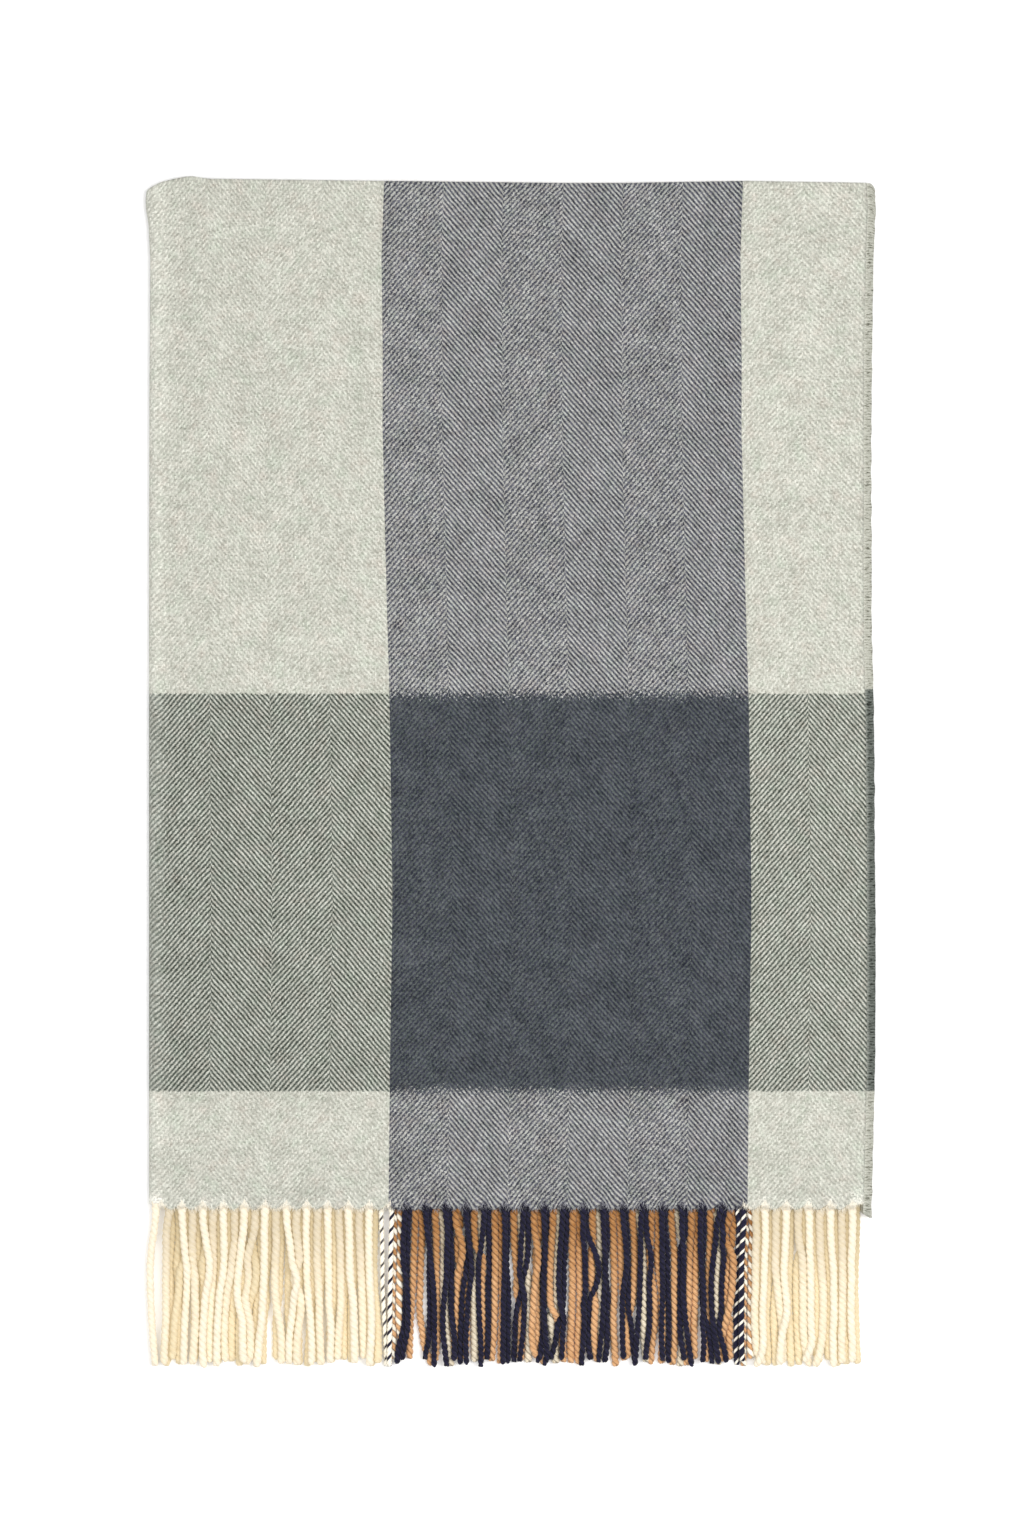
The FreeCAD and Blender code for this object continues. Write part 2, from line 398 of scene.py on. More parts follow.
weave = {
    "stripe": 57.7,                 # herringbone stripe, mm
    "stripeStart": 2.8,             # first turning line from the middle of the cloth, mm
    "centreFrom": 4.0,              # the darker warp lies between these turning lines
    "centreTo": 10.0,
    "endsPerStripe": 48.0,
    "pick": 1.36,                   # one weft yarn to the next, mm
    "hemBand": 112.3,               # light band above the hem, mm
    "darkBand": 495.6,              # top of the dark band above the hem, mm
    "creamWarp": tone(211, 211, 197),
    "navyWarp": tone(65, 66, 81),
    "caramelWarp": tone(176, 140, 108),
    "lightWeft": tone(204, 204, 193),
    "darkWeft": tone(76, 83, 78),
    "speck": tone(120, 118, 116),
    "bleed": 0.125,                 # how much of the other yarn's fibres lie over each float
    "sideShare": 0.00016,           # how much more warp shows towards the open side, for each mm
    "foldReach": 27.0,              # the weave evens out and a painted highlight lightens the rounded fold this far to each side, mm
    "foldHighlight": 0.115,
    "floatVary": 0.16,              # how much lighter and darker single floats are, then the fibres and so on
    "fibreVary": 0.30,
    "fluffVary": 0.36,
    "warpVary": 0.10,
    "weftVary": 0.12,
    "cloudVary": 0.13,
    "level": 0.855,                 # over all
}


def uvPlaces(tree):
    place = node(tree, "UVMap", uv_map="weave")
    split = node(tree, "SeparateXYZ", {0: place.outputs[0]})
    return (calc(tree, "MULTIPLY", split.outputs[0], 1000.0),
            calc(tree, "MULTIPLY", split.outputs[1], 1000.0))


def weftColour(tree, v, fuzz, early=0.0):
    # the light and dark bands, told by the distance from the hem
    fromHem = calc(tree, "SUBTRACT", clothV * 1000, calc(tree, "ABSOLUTE", v))
    fromHem = calc(tree, "ADD", fromHem, fuzz)
    inBand = calc(tree, "MULTIPLY", fit(tree, fromHem, weave["hemBand"] - 0.7, weave["hemBand"] + 0.7),
                  fit(tree, fromHem, weave["darkBand"] + early + 0.7, weave["darkBand"] + early - 0.7))
    return mixColour(tree, inBand, weave["lightWeft"], weave["darkWeft"]), inBand


def makeHerringbone():
    material, tree, shader = newMaterial("herringboneWool", Roughness=0.92, Sheen_Weight=0.12,
                                         Sheen_Roughness=0.45, Specular_IOR_Level=0.10)
    rawU, rawV = uvPlaces(tree)
    bend = calc(tree, "ABSOLUTE", rawU)
    # yarns never run quite true
    swayU = noise(tree, rawU, rawV, 0.06, 0.045, 2.0)
    swayV = noise(tree, rawU, rawV, 0.05, 0.07, 2.0, shift=7.0)
    middle = calc(tree, "DIVIDE", calc(tree, "SUBTRACT", bend, weave["stripeStart"]), weave["stripe"])
    centre = calc(tree, "MULTIPLY", calc(tree, "GREATER_THAN", middle, weave["centreFrom"]),
                  calc(tree, "LESS_THAN", middle, weave["centreTo"]))
    unevenness = noise(tree, rawU, rawV, 0.50, 0.50, 3.0, 0.7, shift=3.0)
    jitter = calc(tree, "MULTIPLY", spread(tree, unevenness, 1.0),
                  calc(tree, "MULTIPLY_ADD", centre, 2.3, 1.5))
    u = addUp(tree, bend, spread(tree, swayU, 1.7), jitter)
    v = calc(tree, "SUBTRACT", calc(tree, "ADD", rawV, spread(tree, swayV, 2.6)), jitter)
    stripe = calc(tree, "DIVIDE", calc(tree, "SUBTRACT", u, weave["stripeStart"]), weave["stripe"])
    oddStripe = calc(tree, "FLOOR", calc(tree, "FLOORED_MODULO", stripe, 2.0))
    ends = calc(tree, "MULTIPLY", calc(tree, "PINGPONG", stripe, 1.0), weave["endsPerStripe"])
    picks = calc(tree, "DIVIDE", v, weave["pick"])
    endNumber, pickNumber = calc(tree, "FLOOR", ends), calc(tree, "FLOOR", picks)
    # two over, two under, one pick further on each end, turned back at every stripe
    step = calc(tree, "MULTIPLY_ADD", oddStripe, 2.0, calc(tree, "SUBTRACT", pickNumber, endNumber))
    step = calc(tree, "DIVIDE", calc(tree, "ADD", step, 0.5), 4.0)
    warpOver = calc(tree, "LESS_THAN", calc(tree, "FRACT", calc(tree, "ADD", step, 1000.0)), 0.5)
    slope = calc(tree, "MULTIPLY_ADD", oddStripe, 2.0, calc(tree, "SUBTRACT", picks, ends))
    line = calc(tree, "SINE", calc(tree, "MULTIPLY", slope, math.pi / 2))
    # every float has its own strength
    yarnNumber = mixValue(tree, warpOver, calc(tree, "ADD", pickNumber, 700.0), endNumber)
    mark = node(tree, "CombineXYZ", {0: yarnNumber, 1: calc(tree, "FLOOR", step), 2: oddStripe})
    scatter = node(tree, "TexWhiteNoise", {"Vector": mark.outputs[0]}, noise_dimensions="3D")
    strength = scatter.outputs["Value"]
    # brushed fibres lie over the weave
    fibre = noise(tree, rawU, rawV, 1.25, 0.95, 3.0, 0.7, shift=11.0)
    fluff = noise(tree, rawU, rawV, 0.50, 0.42, 3.0, 0.75, shift=19.0)
    # how much of the warp shows at each place
    floats = calc(tree, "MULTIPLY", warpOver, 0.45)
    ridges = calc(tree, "MULTIPLY", fit(tree, line, -0.6, 0.6), 0.55)
    loose = calc(tree, "MULTIPLY", spread(tree, fibre, 1.0), calc(tree, "MULTIPLY_ADD", centre, 1.5, 0.8))
    share = addUp(tree, floats, ridges, loose, spread(tree, rawU, weave["sideShare"], 250.0))
    share = node(tree, "Clamp", {"Value": share}).outputs[0]
    share = calc(tree, "MULTIPLY_ADD", share, 1 - 2 * weave["bleed"], weave["bleed"])
    atFold = fit(tree, bend, 2.0, weave["foldReach"], 0.55, 0.0)
    share = mixValue(tree, atFold, share, 0.62)
    # warp colours change with the stripes, weft colours with the bands
    otherHalf = calc(tree, "LESS_THAN", rawU, 0.0)
    warp = mixColour(tree, otherHalf, weave["navyWarp"], weave["caramelWarp"])
    warp = mixColour(tree, centre, weave["creamWarp"], warp)
    fuzz = calc(tree, "MULTIPLY", spread(tree, fluff, 56.0), calc(tree, "MULTIPLY_ADD", centre, 0.88, 0.12))
    weft, inBand = weftColour(tree, v, fuzz)
    colour = mixColour(tree, share, weft, warp)
    # faint rosy and green tints
    tint = noise(tree, rawU, rawV, 0.05, 0.05, 3.0, 0.7, shift=37.0)
    rosy = fit(tree, tint, 0.50, 0.70)
    green = fit(tree, tint, 0.50, 0.30)
    colour = mixColour(tree, rosy, colour, tone(258, 253, 253), "MULTIPLY")
    colour = mixColour(tree, green, colour, tone(251, 256, 253), "MULTIPLY")
    # melange: light and dark fibres, yarns that vary, and a few dark flecks
    slate = calc(tree, "MULTIPLY", inBand, centre)
    warpVary = noise(tree, rawU, rawV, 0.55, 0.035, 2.0, 0.6, shift=23.0)
    weftVary = noise(tree, rawU, rawV, 0.045, 0.55, 2.0, 0.6, shift=29.0)
    clouds = spread(tree, noise(tree, rawU, rawV, 0.035, 0.03, 3.0, 0.6, shift=31.0), weave["cloudVary"])
    light = addUp(tree, spread(tree, strength, weave["floatVary"]), spread(tree, fibre, weave["fibreVary"]),
                  spread(tree, fluff, weave["fluffVary"]), spread(tree, warpVary, weave["warpVary"]),
                  spread(tree, weftVary, weave["weftVary"]),
                  calc(tree, "MULTIPLY", clouds, calc(tree, "MULTIPLY_ADD", centre, 0.6, 1.0)))
    light = calc(tree, "MULTIPLY", light, calc(tree, "MULTIPLY_ADD", slate, -0.30, 1.0))
    ridge = calc(tree, "MULTIPLY_ADD", centre, -0.058, 0.040)
    ridge = calc(tree, "MULTIPLY_ADD", slate, -0.035, ridge)
    light = calc(tree, "ADD", light, calc(tree, "MULTIPLY", line, ridge))
    light = calc(tree, "MULTIPLY_ADD", slate, 0.024, light)
    # painted highlight along the rounded lengthwise fold
    light = calc(tree, "ADD", light, calc(tree, "MULTIPLY", atFold, weave["foldHighlight"]))
    fleck = noise(tree, rawU, rawV, 0.42, 0.34, 2.0, 0.7, shift=41.0)
    fleckShare = calc(tree, "MULTIPLY", fit(tree, fleck, 0.70, 0.79, 0.0, 0.5),
                      fit(tree, inBand, 0.0, 1.0, 1.0, 0.25))
    fleckShare = calc(tree, "MULTIPLY", fleckShare, calc(tree, "SUBTRACT", 1.0, centre))
    colour = mixColour(tree, fleckShare, colour, weave["speck"])
    # where the warp is drawn together at the hem
    tuft = node(tree, "Attribute", attribute_name="tuft").outputs["Fac"]
    tuft = fit(tree, calc(tree, "ADD", tuft, spread(tree, fluff, 1.3)), 0.30, 0.75)
    tuftTone = mixColour(tree, centre, tone(252, 250, 238), warp)
    tuft = calc(tree, "MULTIPLY", tuft, calc(tree, "MULTIPLY_ADD", centre, -0.42, 0.90))
    colour = mixColour(tree, tuft, colour, tuftTone)
    # round yarns, floats and fibres
    acrossEnd = calc(tree, "PINGPONG", calc(tree, "MULTIPLY", ends, 2.0), 1.0)
    acrossPick = calc(tree, "PINGPONG", calc(tree, "MULTIPLY", picks, 2.0), 1.0)
    yarn = mixValue(tree, warpOver, acrossPick, acrossEnd)
    height = addUp(tree, calc(tree, "MULTIPLY", yarn, 0.25), calc(tree, "MULTIPLY", fibre, 1.1),
                   calc(tree, "MULTIPLY", line, 0.12), calc(tree, "MULTIPLY", fluff, 0.9))
    finishWool(tree, shader, shaded(tree, colour, light, weave["level"]), height, 0.7, 0.0006)
    return material


def makeTapeWeave():
    # dense edge where mostly the weft shows, in fine uneven ribs across
    material, tree, shader = newMaterial("selvedgeWeave", Roughness=0.93, Sheen_Weight=0.12,
                                         Sheen_Roughness=0.45, Specular_IOR_Level=0.10)
    rawU, rawV = uvPlaces(tree)
    sway = noise(tree, rawU, rawV, 0.35, 0.05, 2.0)
    fibre = noise(tree, rawU, rawV, 1.1, 1.5, 3.0, 0.7, shift=11.0)
    loops = noise(tree, rawU, rawV, 0.16, 0.60, 3.0, 0.75, shift=5.0)
    v = calc(tree, "ADD", rawV, spread(tree, sway, 3.0))
    weft, inBand = weftColour(tree, v, spread(tree, fibre, 9.0), 4.5)
    # painted shade: the rounded open edge is darker, and the gaps between its loops are darkened, most
    # towards that edge
    outer = fit(tree, rawU, -0.5, 3.5)
    inner = mixColour(tree, inBand, tone(206, 206, 192), tone(148, 152, 143))
    edge = mixColour(tree, inBand, tone(184, 184, 171), tone(99, 104, 98))
    colour = mixColour(tree, outer, inner, edge)
    rib = calc(tree, "PINGPONG", calc(tree, "DIVIDE", v, weave["pick"]), 1.0)
    gaps = calc(tree, "MULTIPLY", fit(tree, loops, 0.50, 0.34),
                calc(tree, "MULTIPLY_ADD", outer, -0.26, -0.04))
    light = addUp(tree, gaps, spread(tree, loops, 0.42), spread(tree, rib, 0.10),
                  spread(tree, fibre, 0.40), 0.03)
    height = addUp(tree, calc(tree, "MULTIPLY", rib, 0.5), calc(tree, "MULTIPLY", fibre, 1.1),
                   calc(tree, "MULTIPLY", loops, 0.9))
    finishWool(tree, shader, shaded(tree, colour, light, weave["level"]), height, 0.8, 0.0006)
    return material


# colour, shadow and fleck are screen colours from 0 to 255
# the settings after sheen are: how dark the painted shade is where a ply lies against its neighbour; the tint
# of the sheen and of a faint painted glow that stands in for light passing through the pale fibres; that
# glow's strength; and how much painted shade darkens a lower row close to the hem, under the upper layers
yarnLooks = {
    "cream": {"colour": (211, 202, 187), "shadow": (206, 194, 168), "fleck": (220, 213, 201),
              "sheen": 0.5, "grooveShade": 0.12, "glow": (1.0, 0.88, 0.66, 1.0), "paintedGlow": 0.22},
    # darker, warmer copies of the cream yarn for the rows beneath: painted shade
    "secondCream": {"colour": (209, 198, 179), "shadow": (202, 188, 158), "fleck": (218, 210, 195),
                    "sheen": 0.5, "grooveShade": 0.13, "glow": (1.0, 0.87, 0.64, 1.0), "paintedGlow": 0.22,
                    "hemShade": 0.11},
    "innerCream": {"colour": (202, 188, 159), "shadow": (194, 175, 140), "fleck": (214, 201, 178),
                   "sheen": 0.5, "grooveShade": 0.15, "glow": (1.0, 0.86, 0.57, 1.0), "paintedGlow": 0.20,
                   "hemShade": 0.13},
    "navy": {"colour": (42, 41, 60), "shadow": (29, 28, 42), "fleck": (66, 66, 88),
             "sheen": 0.10, "grooveShade": 0.6},
    "caramel": {"colour": (214, 168, 124), "shadow": (186, 136, 92), "fleck": (232, 194, 152),
                "grooveShade": 0.5, "hemShade": 0.17},
    "pale": {"colour": (222, 210, 188), "shadow": (196, 180, 154), "fleck": (236, 226, 208), "hemShade": 0.15},
    "white": {"colour": (246, 241, 228), "shadow": (238, 228, 206), "fleck": (250, 247, 238)},
    "ash": {"colour": (176, 176, 180), "shadow": (140, 140, 148), "fleck": (206, 206, 206)},
}


def makeYarn(name, colour, shadow, fleck, sheen=0.2, grooveShade=0.75, glow=None, paintedGlow=0.0, hemShade=0.0):
    # softly spun wool: along is the ply's length, around is 1 on the side turned out of the tassel
    # and -1 where a ply lies against its neighbour
    material, tree, shader = newMaterial(name, Roughness=0.9, Sheen_Weight=sheen, Sheen_Roughness=0.5,
                                         Specular_IOR_Level=0.10)
    # a faint painted glow: emission that stands in for light passing through the pale fibres and lifting
    # their shaded sides
    if glow:
        shader.inputs["Sheen Tint"].default_value = glow
        shader.inputs["Emission Color"].default_value = glow
        shader.inputs["Emission Strength"].default_value = paintedGlow
    along, around = uvPlaces(tree)
    strand = noise(tree, along, around, 0.28, 4.5, 3.0, 0.65)
    cloudy = noise(tree, along, around, 0.10, 0.4, 2.0, 0.5, shift=5.0)
    stray = noise(tree, along, around, 0.9, 3.5, 2.0, 0.6, shift=9.0)
    base = mixColour(tree, fit(tree, strand, 0.30, 0.62), tone(*shadow), tone(*colour))
    base = mixColour(tree, fit(tree, stray, 0.60, 0.74, 0.0, 0.5), base, tone(*fleck))
    # painted shade: the side of each ply that lies against its neighbour is darkened toward a deeper copy of
    # the shadow colour
    grooveShadeTone = tone(*(0.62 * c for c in shadow))
    base = mixColour(tree, fit(tree, around, 0.60, -0.10, 0.0, grooveShade), base, grooveShadeTone)
    light = calc(tree, "ADD", spread(tree, cloudy, 0.10), spread(tree, stray, 0.08))
    # painted shade: lower rows are darker close to the hem, where the upper layers shade them
    if hemShade:
        place = node(tree, "SeparateXYZ", {0: node(tree, "TexCoord").outputs["Object"]})
        below = calc(tree, "SUBTRACT", hemY, place.outputs[1])
        light = calc(tree, "ADD", light, fit(tree, below, 0.004, 0.095, -hemShade, 0.0))
    finishWool(tree, shader, shaded(tree, base, light, 1.0), strand, 0.6, 0.0005)
    return material


herringbone = makeHerringbone()
tapeWeave = makeTapeWeave()
yarns = {key: makeYarn(key + "Yarn", **look) for key, look in yarnLooks.items()}
print("materials made")


def makeCloth():
    halfV = steps([(turnV, turnV / 4), (0.012, 0.003), (0.040, 0.009), (clothV - 0.045, cloth["rowStep"]),
                   (clothV - 0.018, 0.006), (clothV - 0.006, 0.003), (clothV - 0.002, 0.0013),
                   (clothV, 0.0005)])
    halfU = steps([(turnU, turnU / 8), (clothU, cloth["columnStep"])])
    us = np.concatenate([-halfU[:0:-1], halfU])
    vs = np.concatenate([-halfV[:0:-1], halfV])
    points, faces, places = clothGrid(us, vs, shapeCloth)
    fromHem = clothV - np.abs(places[:, 1])
    layer = layerOf(places[:, 0], places[:, 1])
    tuft = np.zeros(len(points))
    for i, name in enumerate(layerNames):
        centres = centresOf(name)
        phase = np.interp(points[:, 0], centres, np.arange(len(centres)))
        tuft += (layer == i) * (0.5 + 0.5 * np.cos(2 * math.pi * phase)) ** 2
    # the warp is drawn together into a point above each tassel
    tuft = tuft ** (0.5 + fromHem / cloth["tuftTaper"]) * np.exp(-fromHem / cloth["tuftReach"])
    mesh = newMesh("throw_cloth", points, faces, places, tuft=tuft)
    print("cloth:", len(us), "by", len(vs), "places, flat", round(2 * sideU, 3), "x", round(2 * clothV, 3))
    return putInScene("throw_cloth", mesh, [herringbone])


tape = {
    "share": 0.98,                  # thickness against the cloth's
    "tuckedIn": 0.0004,             # how far it starts inside the cloth
    "sideRound": 0.0014,
    "tail": 0.0058,                 # how far its end hangs below the hem
    "tailSlant": 0.0050,            # and how much further at the open edge
    "tailRound": 0.003,
    "rough": 0.0004,                # size of the small uneven loops along the open edge
    "sway": 0.0004,                 # and of the edge's slow wander
}


def makeTape(name, side):
    tapeU = steps([(sideU - clothU - 0.0016, 0.0013), (sideU - clothU, 0.0005)])
    halfV = steps([(turnV, turnV / 4), (0.012, 0.003), (clothV - 0.02, 0.0055), (clothV + 0.008, 0.0022)])
    vs = np.concatenate([-halfV[:0:-1], halfV])
    width, longest = tapeU[-1], halfV[-1]

    def shape(u, v, face):
        # u runs from the cloth to the open edge
        rimSide = (width - u) / tape["sideRound"]
        rimTail = (longest - np.abs(v)) / tape["tailRound"]
        rim = roundRim(np.minimum(rimSide, rimTail), 0.05)
        x, y, z = foldPoints(side * (clothU + u - tape["tuckedIn"]), np.clip(v, -clothV, clothV),
                             face * rim * tape["share"])
        over = np.maximum(np.abs(v) - clothV, 0) / (longest - clothV)
        y -= over * (tape["tail"] + tape["tailSlant"] * u / width)
        edge = smooth(0.4, 1.0, u / width)
        ripple = wave(np.stack([v, v * 0], 1), 71, 0.006, 9)
        slow = wave(np.stack([y, v * 0], 1), 73, 0.22)
        x += edge * (tape["rough"] * ripple + tape["sway"] * slow)
        x += drift(x, y)
        x, y, z = cornerShape(x, y, z)
        return np.stack([x, y, puffed(x, y, z)], 1)

    points, faces, places = clothGrid(tapeU, vs, shape)
    if side < 0:
        faces = faces[:, ::-1]
    return putInScene(name, newMesh(name, points, faces, places), [tapeWeave])


throwCloth = makeCloth()
upperTape = makeTape("upper_selvedge", 1)
lowerTape = makeTape("lower_selvedge", -1)
print("selvedges: 2")


# tassels: two or three plies twisted together
tassel = {
    "pitch": 0.0103,                # one full turn of the twist
    "threePitch": 1.14,             # three plies turn slower
    "plainPitch": -1.2,             # and two plies slower still, the other way
    "root": 0.0060,                 # how far a tassel starts inside the hem
    "tipShift": 0.0054,             # how far the tips stray sideways
    "bow": 0.0013,
    "waveSize": 0.0019,
    "rippleSize": 0.0004,
    "lengthVary": 0.0042,
    "places": 64,                   # along each tassel while it is laid
    "seed": 23,
}
settling = {
    "rounds": 70,                   # of letting the tassels find room beside and over each other
    "sink": 0.00004,                # how far they sink in each round
    "closeness": 0.96,              # how near two may come, against just touching
    "push": 0.22,                   # share of an overlap cleared in each round
    "even": 0.16,                   # how strongly sharp bends are evened out
}
nearFold = {
    "upperZone": 0.020,             # this close to the lengthwise fold the upper rows start further out
    "upperOut": 0.0045,
    "lowerZone": 0.018,             # and the lower rows drift inwards, to be clear of them when opened
    "lowerIn": 0.0090,
    "firstLean": -0.0030,           # the first tassel of all leans outwards
}
# radius of a ply, and how far its middle lies from the tassel's
girths = {"cream": (0.0029, 0.0011), "secondCream": (0.0029, 0.0011), "innerCream": (0.0030, 0.0010),
          "navy": (0.0019, 0.00125), "caramel": (0.0023, 0.00150), "pale": (0.0026, 0.0015),
          "white": (0.0018, 0.0010)}

# heights of the rows' middles: hanging free at the sides, inside the hem, and hanging free in the centre
rowHeights = {"front": 0.0110, "second": 0.0094, "third": 0.0068, "back": 0.0042}
rootHeights = {"front": 0.0113, "second": 0.0086, "third": 0.0052, "back": 0.0026}
centreHeights = {"front": 0.0122, "second": 0.0080, "third": 0.0062, "back": 0.0040}
tasselColours = {
    "cream_tassels_left": ["cream", "cream"],
    "cream_tassels_right": ["cream", "cream"],
    "navy_tassels": ["navy", "navy"],
    "caramel_tassels": ["caramel", "caramel"],
    "pale_tassels": ["pale", "pale"],
}
marlColours = {
    "front_marl_tassel_left": ["white", "white", "navy"],
    "second_marl_tassel_left": ["white", "white", "navy"],
    "front_marl_tassel_right": ["navy", "navy", "white"],
    "second_marl_tassel_right": ["navy", "navy", "white"],
    "third_marl_tassel_left": ["caramel", "white"],
    "third_marl_tassel_right": ["caramel", "white"],
    "back_marl_tassel_left": ["caramel", "white"],
    "back_marl_tassel_right": ["caramel", "white"],
}
# where a row starts a little beside its place, and how far it drifts once free
sidestep = {"second_marl_tassel_left": -0.0030, "front_marl_tassel_left": 0.0010,
            "second_marl_tassel_right": 0.0004, "front_marl_tassel_right": 0.0004,
            "second_navy_tassels": -0.0020}
drifting = {"second_navy_tassels": -0.0014, "second_marl_tassel_right": 0.0044,
            "back_caramel_tassels": 0.0105, "back_pale_tassels": 0.0105, "third_caramel_tassels": -0.0008}
# how the last tassel of a row leans
leaning = {"front_marl_tassel_right": -0.0012, "second_marl_tassel_right": -0.0010,
           "front_cream_tassels_right": -0.0022, "second_cream_tassels_right": -0.0030}
# how thick the odd ply of a marled tassel is against the others
thirdPly = {"second_marl_tassel_left": 0.5, "front_marl_tassel_left": 0.86}


def rootSize(t):
    # flat inside the hem, round below it
    return 0.30 + 0.70 * smooth(0.015, 0.10, t)


def asColumn(values):
    return np.array(values)[:, None]


def leanShare(name):
    if name == "second_navy_tassels":
        return 1.5
    return 0.7 if "cream" in name else 1.0


def layFringe():
    # every tassel hangs with its own lean and waves, then they settle beside and over each other
    rng = np.random.default_rng(tassel["seed"])
    names, starts, rows, plies = [], [], [], []
    for name, centres in rowCentres.items():
        row, kind = name.split("_", 1)
        colours = marlColours.get(name) or tasselColours[kind]
        # cream tassels below the front row take the darker, warmer copies of the cream yarn: painted shade
        if row != "front":
            shadedCream = "secondCream" if row == "second" else "innerCream"
            colours = [shadedCream if c == "cream" else c for c in colours]
        for x in centres:
            names.append(name)
            starts.append(x)
            rows.append(row)
            plies.append(colours)
    count = len(names)
    t = np.linspace(0, 1, tassel["places"])[None, :]
    lean = rng.normal(0, tassel["tipShift"], (count, 1))
    lean[0] = nearFold["firstLean"]
    for i, name in enumerate(names):
        if name in leaning and (i + 1 == len(names) or names[i + 1] != name):
            lean[i] = leaning[name]
    lean = lean * asColumn([leanShare(name) for name in names])
    aside = asColumn([drifting.get(name, 0.0) for name in names])
    starts = asColumn(starts) + asColumn([sidestep.get(name, 0.0) for name in names])
    upper = asColumn([row in ("front", "second") for row in rows])
    starts = starts - nearFold["upperOut"] * ((starts < leftX + nearFold["upperZone"]) & upper)
    aside = aside + nearFold["lowerIn"] * ((starts < leftX + nearFold["lowerZone"]) & ~upper)
    bow = rng.normal(0, tassel["bow"], (count, 1))
    size = tassel["waveSize"] * rng.normal(0, 1, (count, 1))
    x = starts + lean * t ** 1.4 + bow * np.sin(math.pi * t)
    for swing, fewest, most in ((size, 0.7, 1.4), (tassel["rippleSize"], 2.0, 3.4)):
        waves, begin = rng.uniform(fewest, most, (count, 1)), rng.uniform(0, 1, (count, 1))
        x = x + swing * np.sin(2 * math.pi * (t * waves + begin))
    free = smooth(0.02, 0.16, t)
    x = starts + (x - x[:, :1]) * smooth(0.0, 0.25, t) + aside * smooth(0.0, 0.12, t)
    root = asColumn([rootHeights[row] for row in rows])
    rest = asColumn([(centreHeights if {"navy", "caramel", "pale"} & set(c) else rowHeights)[row]
                     for row, c in zip(rows, plies)])
    rest = rest - 0.004 * asColumn([name == "second_marl_tassel_right" for name in names])
    z = root + (rest - root) * smooth(0.0, 0.14, t)
    girth = asColumn([sum(girths[c[0]]) for c in plies])
    radius = girth * rootSize(t)
    first, second = np.triu_indices(count, 1)
    close = np.abs(starts[first, 0] - starts[second, 0]) < 0.024
    first, second = first[close], second[close]
    for _ in range(settling["rounds"]):
        z = z - settling["sink"] * free
        dx, dz = x[first] - x[second], z[first] - z[second]
        gap = np.sqrt(dx ** 2 + dz ** 2) + 1e-9
        overlap = np.clip((radius[first] + radius[second]) * settling["closeness"] - gap, 0, None)
        push = overlap / gap * settling["push"]
        moveX, moveZ = np.zeros_like(x), np.zeros_like(z)
        np.add.at(moveX, first, dx * push)
        np.add.at(moveX, second, -dx * push)
        np.add.at(moveZ, first, dz * push)
        np.add.at(moveZ, second, -dz * push)
        x, z = x + moveX * free, z + moveZ * free
        for line in (x, z):
            line[:, 1:-1] += settling["even"] * (line[:, 2:] - 2 * line[:, 1:-1] + line[:, :-2])
        z = np.maximum(z, radius * free + root * (1 - free))
    paths = {}
    for i in range(count):
        paths.setdefault(names[i], []).append((x[i], z[i], plies[i]))
    return paths


